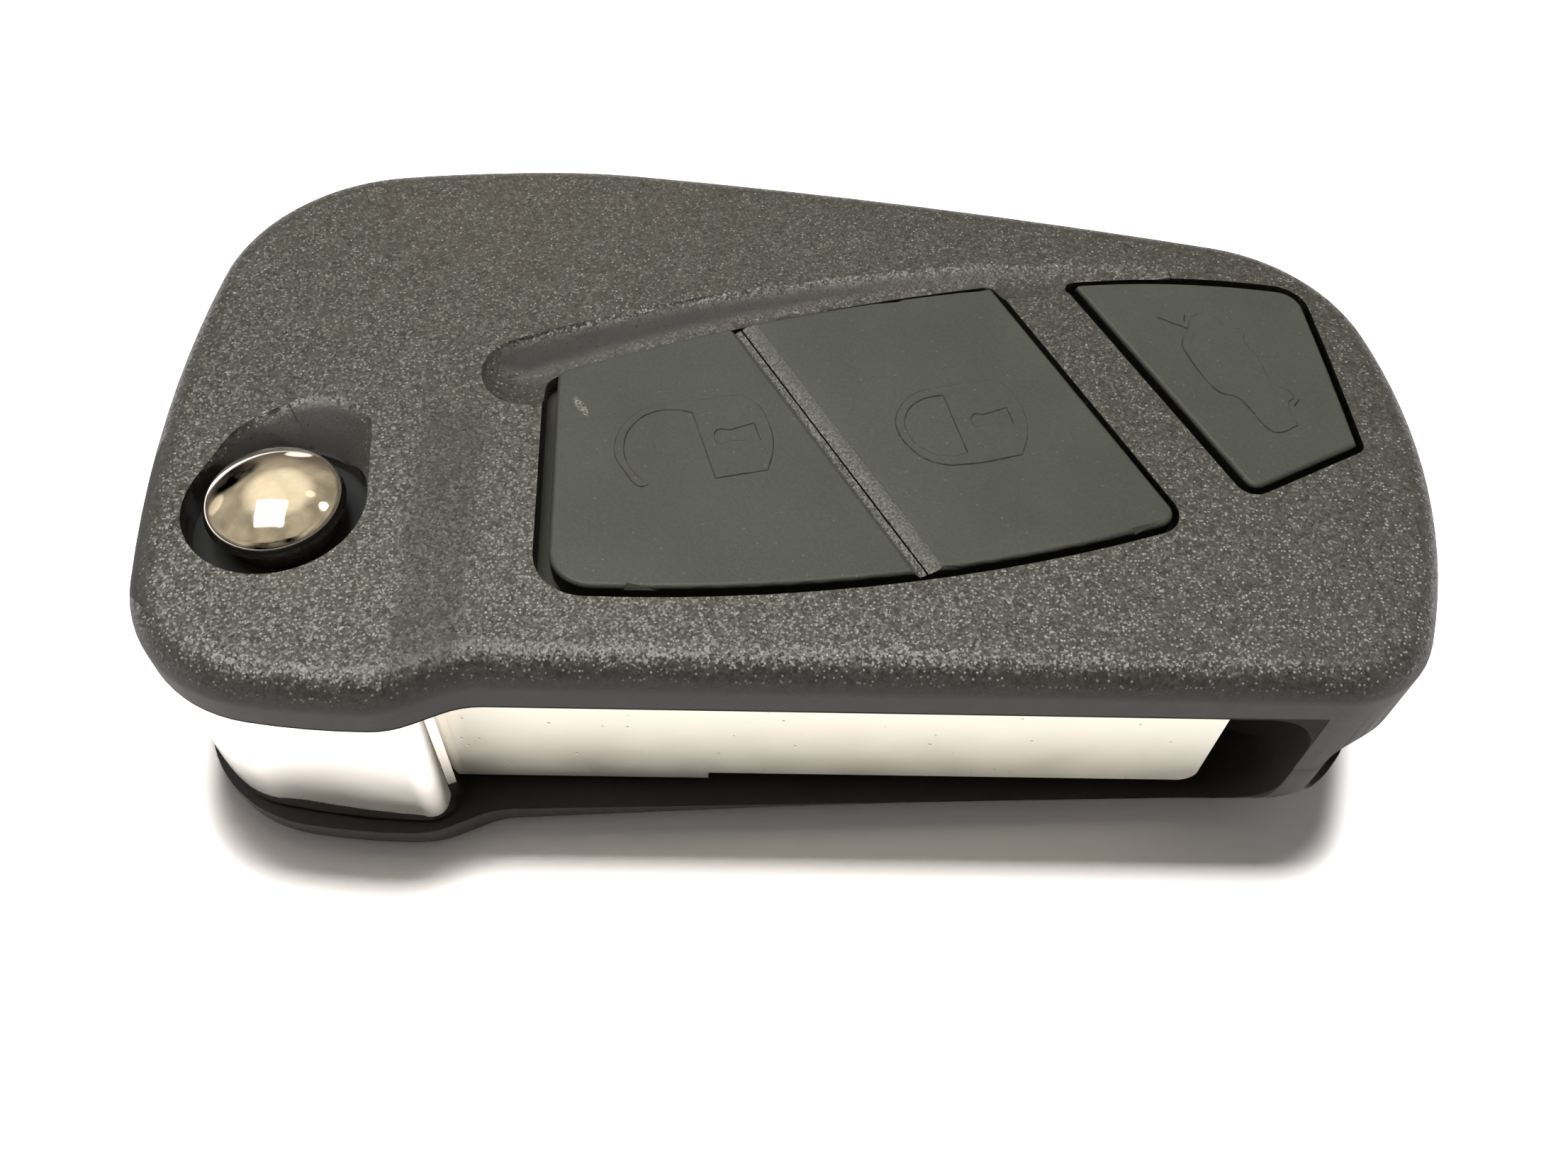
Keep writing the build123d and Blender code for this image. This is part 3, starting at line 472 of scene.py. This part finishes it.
def key_rubber():
    rubber = bpy.data.materials.new("key_rubber")
    finish = Finish(rubber)
    x, y, z = finish.axes(finish.place())
    up = finish.axes(finish.facing())[2]
    sheen_wall = valley_wall(finish, x, y)
    cloud = finish.ramp(finish.noise(CLOUD, 3.0), 0.3, 0.7)
    fine = finish.ramp(finish.noise(FINE, 3.0), 0.35, 0.75)
    dust = finish.ramp(finish.cells(DUST, "Distance"), 0.05, 0.10, 1.0, 0.0)
    pale = finish.ramp(finish.noise(SPECK), 0.40, 0.66)
    lit = finish.ramp(up, *KEY_TOP) * finish.ramp(z, *KEY_LOW)
    base = finish.colour(cloud * 0.5 + fine * 0.5, RUBBER_DARK, RUBBER_LIGHT)
    base = finish.colour(dust * 0.5, base, RUBBER_DUST)
    # Painted highlight: pale specks on the lamp-facing wall of the V groove.
    base = finish.colour(sheen_wall * pale * 0.7, base, RUBBER_PAINTED_SPECK)
    base = finish.colour(scuff(finish, x, y) * pale, base, RUBBER_SCUFF)
    base = finish.colour(lit, RUBBER_SHADE, base)
    height = finish.noise(PORE) * (1 + sheen_wall * 4.0)
    finish.surface({"Base Color": base, "Roughness": 0.60 - sheen_wall * 0.2,
                    "Normal": finish.bump(height, 0.02 * MM)})
    return rubber


# %% [markdown]
# The metal parts need little colour of their own. The dome and the head are polished chrome,
# with faint waves from the casting. The blade is satin nickel with fine pits. The hidden steel
# parts are bright zinc, and the drawer inside is smooth black plastic. The thin lines round the
# symbols on the keys are painted shade: a near-black rubber that stands for the shadow at the
# foot of each raised plate.


# %% Metals and inner plastic
def chrome_casting():
    chrome = bpy.data.materials.new("chrome_casting")
    finish = Finish(chrome)
    waves = finish.noise(2.2 * MM, 1.0)
    fine = finish.noise(0.25 * MM, 2.0)
    rough = 0.045 + finish.ramp(fine, 0.55, 0.8) * 0.05
    finish.surface({"Base Color": (0.94, 0.91, 0.86, 1), "Metallic": 1.0, "Roughness": rough,
                    "Normal": finish.bump(waves + fine * 0.02, 0.010 * MM)})
    return chrome


def blade_steel():
    steel = bpy.data.materials.new("blade_steel")
    finish = Finish(steel)
    pit = finish.ramp(finish.cells(1.1 * MM, "Distance"), 0.03, 0.11, 1.0, 0.0)
    cloud = finish.noise(4.0 * MM, 2.0)
    base = finish.colour(cloud, (0.90, 0.87, 0.76), (0.96, 0.93, 0.82))
    base = finish.colour(pit * 0.6, base, (0.35, 0.33, 0.30))
    rough = 0.30 + cloud * 0.12
    height = finish.noise(0.2 * MM, 2.0) * 0.15 - pit
    finish.surface({"Base Color": base, "Metallic": 1.0, "Roughness": rough,
                    "Normal": finish.bump(height, 0.012 * MM)})
    return steel


def plated_steel():
    steel = bpy.data.materials.new("plated_steel")
    finish = Finish(steel)
    grain = finish.noise(0.3 * MM, 3.0)
    base = finish.colour(grain, (0.52, 0.52, 0.50), (0.68, 0.68, 0.66))
    finish.surface({"Base Color": base, "Metallic": 1.0, "Roughness": 0.28 + grain * 0.15,
                    "Normal": finish.bump(grain, 0.008 * MM)})
    return steel


def inner_plastic():
    plastic = bpy.data.materials.new("inner_plastic")
    finish = Finish(plastic)
    cloud = finish.noise(1.5 * MM, 3.0)
    base = finish.colour(cloud, (0.026, 0.026, 0.026), (0.040, 0.040, 0.039))
    finish.surface({"Base Color": base, "Roughness": 0.32 + cloud * 0.15,
                    "Normal": finish.bump(finish.noise(0.35 * MM), 0.01 * MM)})
    return plastic


# Painted shade: a near-black rubber for the lines round the symbols.
def painted_shade_line():
    rubber = bpy.data.materials.new("painted_shade_line")
    finish = Finish(rubber)
    worn = finish.ramp(finish.noise(0.6 * MM, 2.0), 0.35, 0.65)
    base = finish.colour(worn, (0.010, 0.011, 0.009), (0.032, 0.034, 0.030))
    finish.surface({"Base Color": base, "Roughness": 0.7 - worn * 0.1,
                    "Normal": finish.bump(finish.noise(0.1 * MM), 0.004 * MM)})
    return rubber


makers = (case_plastic, key_rubber, painted_shade_line, chrome_casting, blade_steel, plated_steel,
          inner_plastic)
finishes = {maker.__name__: maker() for maker in makers}
print("finishes", sorted(finishes))

# %% [markdown]
# A CAD mesh is loose triangles with knife-sharp edges, which no moulding has. Each piece that
# shows is copied, its triangles are merged, its sharp edges get a small bevel, and a weighted
# normal keeps the flat faces flat beside them. The CAD node stays hidden underneath.


# %% Rounded copies of the CAD pieces
SLOTS = {row["node"]: row["material_slot"] for row in frame["record"]["subparts"]}
BODIES = {node: body for body, nodes in frame["record"]["behaviour"]["bodies"].items() for node in nodes}
MERGE, FINE_MERGE = 0.004 * MM, 0.001 * MM
SHARP = radians(32)
FLAT = radians(0.02)


def welded(node):
    """A bmesh of a CAD node with its loose triangles joined up and its flat faces cleared."""
    shape = bmesh.new()
    shape.from_mesh(frame["nodes"][node].data)
    bmesh.ops.remove_doubles(shape, verts=shape.verts, dist=MERGE)
    bmesh.ops.dissolve_degenerate(shape, edges=shape.edges, dist=MERGE / 2)
    bmesh.ops.dissolve_limit(shape, angle_limit=FLAT, verts=shape.verts, edges=shape.edges)
    return shape


def sharp_edges(shape):
    return [edge for edge in shape.edges
            if len(edge.link_faces) == 2 and edge.calc_face_angle(0) > SHARP]


def finished(shape, name, node, slot, smooth=SHARP, look=None):
    """Makes an object of a bmesh, gives it its finish and parents it to the empty of its CAD node's
    body.
    """
    mesh = bpy.data.meshes.new(name)
    shape.to_mesh(mesh)
    shape.free()
    mesh.shade_smooth()
    mesh.set_sharp_from_angle(angle=smooth)
    piece = bpy.data.objects.new(name, mesh)
    bpy.context.scene.collection.objects.link(piece)
    mesh.materials.append(finishes[look or slot])
    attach(piece, BODIES[node])
    return piece


def rounded(node, name, radius, segments=2):
    """A copy of a CAD node with its sharp edges bevelled, which stands for the node."""
    shape = welded(node)
    edges = sharp_edges(shape)
    bmesh.ops.bevel(shape, geom=edges, offset=radius, offset_type="OFFSET", segments=segments,
                    profile=0.5, affect="EDGES", clamp_overlap=True, material=-1)
    faces = len(shape.faces)
    piece = finished(shape, name, node, SLOTS[node])
    keep = piece.modifiers.new("flat_faces", "WEIGHTED_NORMAL")
    keep.keep_sharp = True
    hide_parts(node)
    print(name, "edges", len(edges), "faces", faces)
    return piece


ROUNDED = (
    ("upper_shell", "case_top", 0.10),
    ("lower_shell", "case_bottom", 0.08),
    ("unlock_button", "unlock_key", 0.05),
    ("lock_button", "lock_key", 0.05),
    ("boot_button", "boot_key", 0.05),
    ("flip_head", "blade_head", 0.15),
    ("key_blade", "blade", 0.15),
)
for node, name, radius in ROUNDED:
    rounded(node, name, radius * MM)

# %% [markdown]
# What is hidden in the case keeps its CAD shape and only gets its finish.

# %% Hidden pieces
shown = {node for node, name, radius in ROUNDED}
for node, piece in frame["nodes"].items():
    piece.data.materials.clear()
    piece.data.materials.append(finishes[SLOTS[node]])
    if node not in shown:
        piece.data.shade_smooth()
        piece.data.set_sharp_from_angle(angle=SHARP)
print("hidden pieces", len(frame["nodes"]) - len(shown))

# %% [markdown]
# The release button is a turned dome, so its half section is spun round its axis. A spin gives
# it many more facets than the CAD mesh has, which a mirror finish needs. The section is a flat
# arc over the crown that rolls over a rounder shoulder into a short skirt, and the skirt ends in
# a thin bead.

# %% Release button
CROWN_RADIUS = 6.1 * MM
SHOULDER_RADIUS = 0.75 * MM
BEAD = 0.07 * MM
SKIRT_DROP = 0.15 * MM
CROWN_STEPS, SHOULDER_STEPS = 16, 10
SPIN_STEPS = 128
DOME_CREASE = radians(60)

low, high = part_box("release_cap")
middle = (low + high) / 2
outer = (high.x - low.x) / 2 - BEAD
reach = outer - SHOULDER_RADIUS
crown_middle = high.z - CROWN_RADIUS
lean = asin(reach / (CROWN_RADIUS - SHOULDER_RADIUS))
shoulder_middle = crown_middle + (CROWN_RADIUS - SHOULDER_RADIUS) * cos(lean)
section = [(CROWN_RADIUS * sin(lean * step / CROWN_STEPS),
            crown_middle + CROWN_RADIUS * cos(lean * step / CROWN_STEPS)) for step in range(CROWN_STEPS)]
for step in range(SHOULDER_STEPS + 1):
    turn = lean + (pi / 2 - lean) * step / SHOULDER_STEPS
    section.append((reach + SHOULDER_RADIUS * sin(turn), shoulder_middle + SHOULDER_RADIUS * cos(turn)))
foot = low.z - SKIRT_DROP
section += [(outer, foot + BEAD * 3), (outer + BEAD, foot + BEAD * 2), (outer + BEAD, foot), (0.0, foot)]

shape = bmesh.new()
points = [shape.verts.new((middle.x + across_axis, middle.y, z)) for across_axis, z in section]
edges = [shape.edges.new(pair) for pair in zip(points, points[1:])]
bmesh.ops.spin(shape, geom=points + edges, cent=(middle.x, middle.y, 0), axis=(0, 0, 1),
               angle=2 * pi, steps=SPIN_STEPS, use_merge=True)
bmesh.ops.remove_doubles(shape, verts=shape.verts, dist=FINE_MERGE)
bmesh.ops.recalc_face_normals(shape, faces=shape.faces)
dome = finished(shape, "release_dome", "release_cap", "chrome_casting", DOME_CREASE)
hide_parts("release_cap")
print("dome radius", round(outer / MM, 2), "mm, foot at", round(foot / MM, 2), "mm")

# %% [markdown]
# The key tops carry moulded symbols: an open padlock, a closed padlock and a car with its boot
# up. On the real rubber each one is a plate a few hundredths of a millimetre proud. The thin dark
# line round each plate is painted shade, a near-black bead where the plate's edge throws its
# shadow. The symbols are drawn as curves, because a curve goes smoothly through a few listed points
# and can keep a corner where one is wanted. A flat curve fills itself, with its inner splines as
# holes, and the same points with a round bevel are the line.

# %% Symbols on the keys
SYMBOL_RISE = 0.05 * MM
LINE_RADIUS = 0.056 * MM
LINE_ROUNDNESS = 2
CURVE_STEPS = 6
PLATE_CREASE = radians(20)
CORNER = "VECTOR"
OPEN_PADLOCK = (
    ((-8.6, -7.4), (-10.1, -6.1), (-10.6, -4.6), (-9.9, -2.4), (-9.0, -1.6), (-7.6, -1.1), (-5.2, -0.7),
     (-3.6, -0.4), (-2.7, -0.9), (-1.8, -2.8), (-1.6, -4.4), (-1.9, -6.1, CORNER), (-4.8, -6.8, CORNER),
     (-6.3, -1.8, CORNER), (-7.4, -1.6), (-8.7, -1.9), (-9.7, -2.9), (-10.1, -4.2), (-9.8, -5.9),
     (-8.9, -7.1)),
    ((-5.0, -3.7), (-4.8, -3.1), (-4.1, -3.1, CORNER), (-2.7, -2.5, CORNER), (-2.3, -3.9, CORNER),
     (-4.0, -4.0, CORNER), (-4.7, -4.2)),
)
CLOSED_PADLOCK = (
    ((8.7, 0.8), (6.8, 0.1), (5.8, -1.2), (5.6, -2.6), (6.4, -4.3), (7.8, -5.3), (9.6, -5.3),
     (12.7, -4.5, CORNER), (13.2, -2.8), (13.1, -0.9), (12.5, 0.6), (11.8, 1.5, CORNER), (10.5, 1.2)),
    ((8.5, 0.1, CORNER), (7.2, -0.3), (6.2, -1.5), (6.2, -3.1), (7.2, -4.4), (8.7, -4.8),
     (9.6, -4.5, CORNER)),
    ((10.0, -1.9), (10.2, -1.4), (10.8, -1.4, CORNER), (12.2, -0.8, CORNER), (12.5, -2.1, CORNER),
     (10.9, -2.2, CORNER), (10.2, -2.4)),
)
CAR = (
    ((24.4, 6.4, CORNER), (23.8, 5.0), (23.9, 4.2), (24.9, 1.5), (25.3, 0.9), (26.3, 0.5), (26.9, -0.5),
     (27.6, -2.0), (28.0, -2.3), (29.4, -1.7, CORNER), (29.2, -0.4), (29.3, 0.2), (29.7, 0.6),
     (29.4, 1.2), (28.9, 1.5), (28.2, 4.1), (27.7, 5.4), (27.8, 6.3), (26.9, 6.6), (25.9, 7.8),
     (24.9, 7.5)),
)
CAR_STROKES = (
    ((22.6, 7.4, CORNER), (24.4, 6.4, CORNER)),
    ((24.4, 7.6, CORNER), (24.3, 7.1, CORNER)),
    ((29.6, -0.1, CORNER), (30.0, 0.4, CORNER)),
    ((24.8, 6.1, CORNER), (24.3, 5.1, CORNER)),
)


def curve(splines, closed, top, **settings):
    """A mesh of a curve through points, which have a smooth handle unless they name another."""
    line = bpy.data.curves.new("line", "CURVE")
    for name, value in settings.items():
        setattr(line, name, value)
    for points in splines:
        spline = line.splines.new("BEZIER")
        spline.bezier_points.add(len(points) - 1)
        spline.use_cyclic_u = closed
        spline.resolution_u = CURVE_STEPS
        for knot, (x, y, *kind) in zip(spline.bezier_points, points):
            knot.co = (x * MM, y * MM, 0)
            knot.handle_left_type = knot.handle_right_type = kind[0] if kind else "AUTO"
    drawn = bpy.data.objects.new("line", line)
    bpy.context.scene.collection.objects.link(drawn)
    bpy.context.view_layer.update()
    mesh = bpy.data.meshes.new_from_object(drawn.evaluated_get(bpy.context.evaluated_depsgraph_get()))
    bpy.data.objects.remove(drawn)
    shape = bmesh.new()
    shape.from_mesh(mesh)
    bpy.data.meshes.remove(mesh)
    bmesh.ops.remove_doubles(shape, verts=shape.verts, dist=FINE_MERGE)
    bmesh.ops.translate(shape, verts=shape.verts, vec=(0, 0, top))
    bmesh.ops.recalc_face_normals(shape, faces=shape.faces)
    return shape


def symbol(name, node, outlines, strokes=()):
    """A thin plate on top of a key and the dark line of painted shade round it."""
    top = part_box(node)[1].z
    plate = curve(outlines, True, top, dimensions="2D", fill_mode="BOTH", extrude=SYMBOL_RISE)
    finished(plate, name, node, "key_rubber", PLATE_CREASE)
    # Painted shade: the dark bead round the plate stands for the shadow at its foot.
    line = curve(outlines, True, top, dimensions="3D", bevel_depth=LINE_RADIUS,
                 bevel_resolution=LINE_ROUNDNESS)
    finished(line, name + "_line", node, "key_rubber", look="painted_shade_line")
    for number, stroke in enumerate(strokes):
        line = curve((stroke,), False, top, dimensions="3D", bevel_depth=LINE_RADIUS,
                     bevel_resolution=LINE_ROUNDNESS, use_fill_caps=True)
        finished(line, f"{name}_stroke_{number}", node, "key_rubber", look="painted_shade_line")
    print(name, "splines", len(outlines) + len(strokes))


symbol("open_padlock", "unlock_button", OPEN_PADLOCK)
symbol("closed_padlock", "lock_button", CLOSED_PADLOCK)
symbol("car_with_boot_up", "boot_button", CAR, CAR_STROKES)
